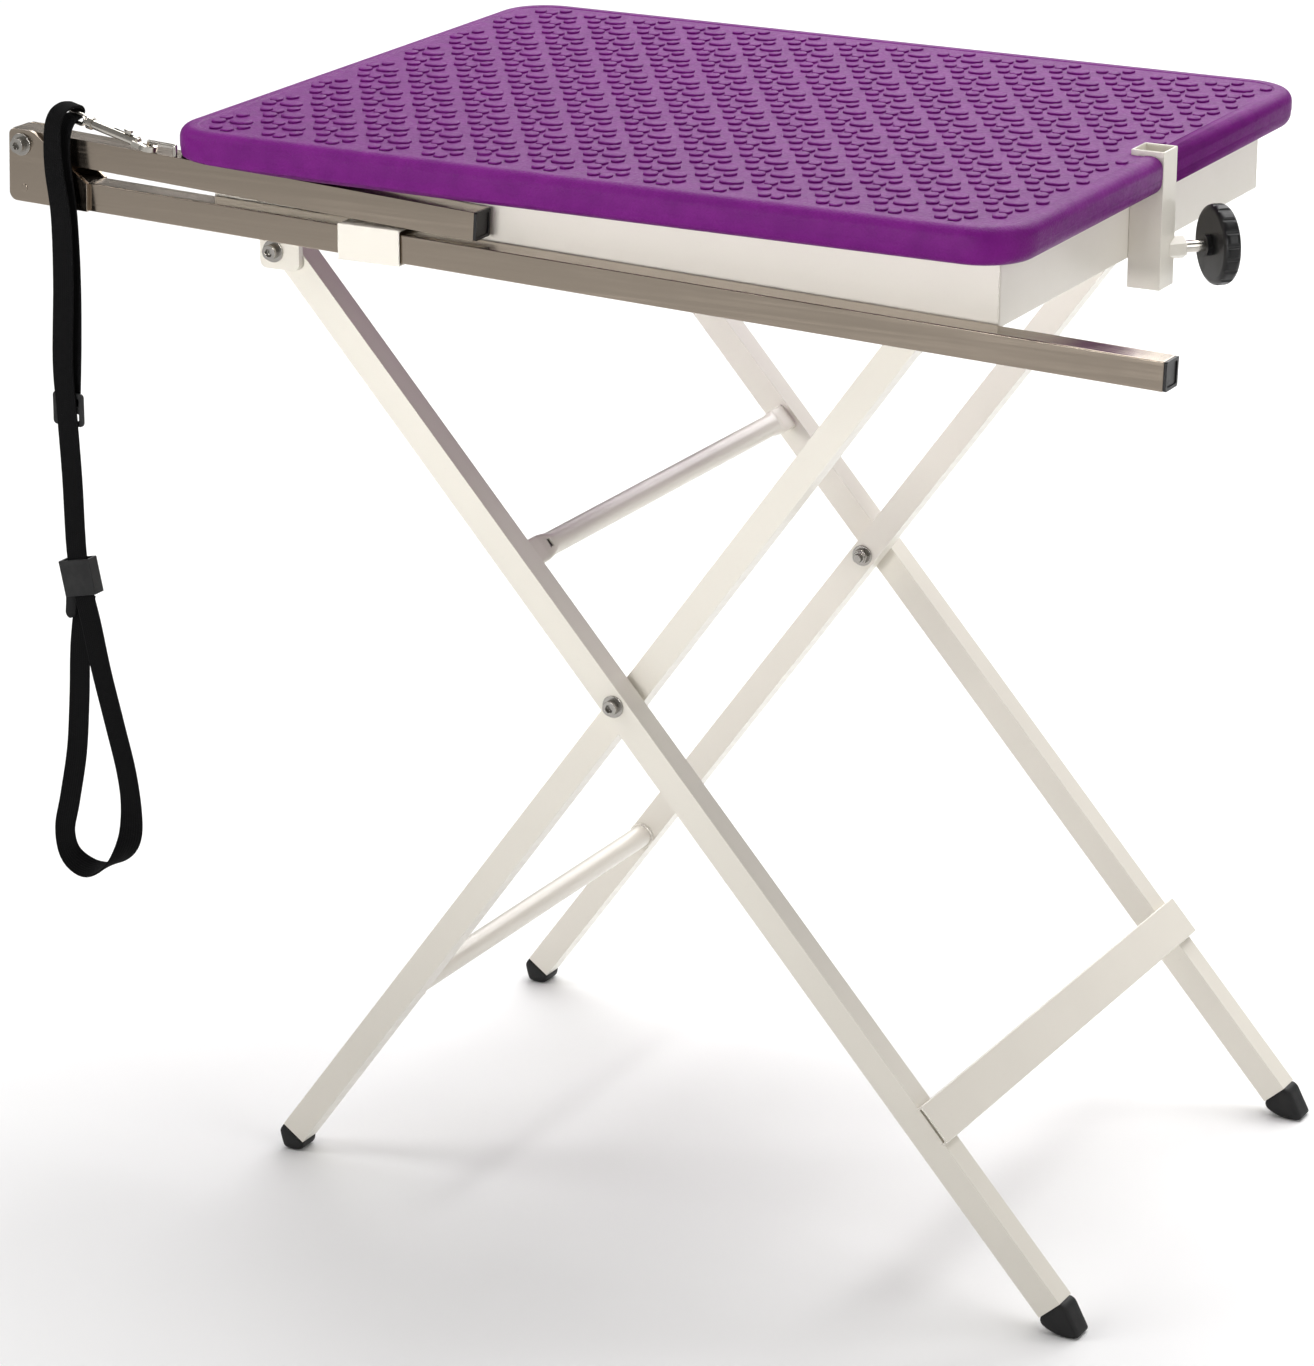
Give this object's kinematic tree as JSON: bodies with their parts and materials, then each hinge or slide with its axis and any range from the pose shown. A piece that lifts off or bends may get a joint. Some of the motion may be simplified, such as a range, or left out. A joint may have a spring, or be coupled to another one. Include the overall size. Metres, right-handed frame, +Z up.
{
  "type": "grooming table",
  "caption": "Folding pet grooming table on crossed tube legs, with a textured top, a stored square-tube grooming arm and a webbing leash.",
  "frame": {"origin": "on the floor, under the middle of the part's length and depth, cord left out", "axes": "+X along the top's long side towards the clamping knob, +Y to the back, -Y the side with the stored arm, +Z up"},
  "size_m": [0.83, 0.5017, 0.7454],
  "materials": {
    "purple_top": "satin moulded plastic with fine leather grain",
    "white_coat": "cream-white powder coat, satin",
    "stainless": "polished along the tube",
    "zinc": "bright plated",
    "nickel": "bright nickel plate",
    "rubber": "matt moulded rubber",
    "black_plastic": "satin moulded plastic",
    "nylon": "natural nylon",
    "webbing": "woven nylon webbing"
  },
  "bodies": {
    "table": {"tabletop": "purple_top", "apron_front": "white_coat", "apron_rear": "white_coat", "apron_left": "white_coat", "apron_right": "white_coat", "catch_rail": "white_coat", "catch_pads": "nylon", "top_screws": "zinc", "ear_front": "white_coat", "ear_rear": "white_coat", "ear_bolts": "zinc", "ear_washers": "zinc", "ear_nuts": "zinc", "arm_sleeve": "white_coat", "arm_socket": "white_coat", "socket_nut": "white_coat"},
    "outer_frame": {"outer_leg_front": "white_coat", "outer_leg_rear": "white_coat", "outer_cross_tube": "white_coat", "foot_bar": "white_coat", "outer_feet": "rubber", "cross_bolts": "zinc", "cross_washers": "zinc", "cross_spacers": "nylon", "cross_nuts": "zinc"},
    "inner_frame": {"inner_leg_front": "white_coat", "inner_leg_rear": "white_coat", "inner_cross_tube": "white_coat", "inner_top_bar": "white_coat", "inner_feet": "rubber"},
    "post": {"post_tube": "stainless", "post_cap": "black_plastic", "hinge_plate_front": "stainless", "hinge_plate_rear": "stainless", "plate_rivets": "stainless", "arm_bolt": "zinc", "arm_washers": "zinc", "arm_nut": "zinc", "arm_tube": "stainless", "arm_caps": "black_plastic", "arm_loop": "nickel", "snap_body": "nickel", "snap_spring": "nickel"},
    "snap_bolt": {"snap_thumb": "nickel"},
    "leash": {"snap_eye": "nickel", "leash_webbing": "webbing", "leash_slider": "black_plastic", "leash_lock": "black_plastic", "leash_tab": "webbing"},
    "clamp_screw": {"clamp_rod": "nickel"},
    "clamp_knob": {"clamp_knob": "black_plastic"}
  },
  "joints": [
    {"name": "outer_fold", "type": "hinge", "parent": "table", "child": "outer_frame", "pos_m": [-0.2245, 0, 0.65601], "axis": [0, -1, 0], "range_deg": [0, 40.6]},
    {"name": "inner_fold", "type": "hinge", "parent": "outer_frame", "child": "inner_frame", "pos_m": [0.02591, 0, 0.379], "axis": [0, 1, 0], "range_deg": [0, 93.5]},
    {"name": "post_slide", "type": "slide", "parent": "table", "child": "post", "axis": [-0.9995, 0, 0.0314], "range_m": [0, 0.5]},
    {"name": "leash_swing", "type": "hinge", "parent": "post", "child": "leash", "pos_m": [-0.35309, -0.236, 0.7323], "axis": [-0.9703, 0, 0.2419], "range_deg": [0, 30]},
    {"name": "snap_slide", "type": "slide", "parent": "post", "child": "snap_bolt", "axis": [-0.9703, 0, 0.2419], "range_m": [0, 0.006], "stiffness_N_per_m": 100},
    {"name": "clamp_travel", "type": "slide", "parent": "table", "child": "clamp_screw", "axis": [-0.7071, -0.7071, 0], "range_m": [0, 0.0026]},
    {"name": "knob_spin", "type": "hinge", "parent": "clamp_screw", "child": "clamp_knob", "pos_m": [0.33541, 0.02899, 0.673], "axis": [0.7071, 0.7071, 0], "range_deg": [0, 720]}
  ],
  "couplings": [
    {"joint": "inner_fold", "follows": "outer_fold", "ratio": 2.3},
    {"joint": "clamp_travel", "follows": "knob_spin", "m_per_rad": 0.00019894}
  ]
}
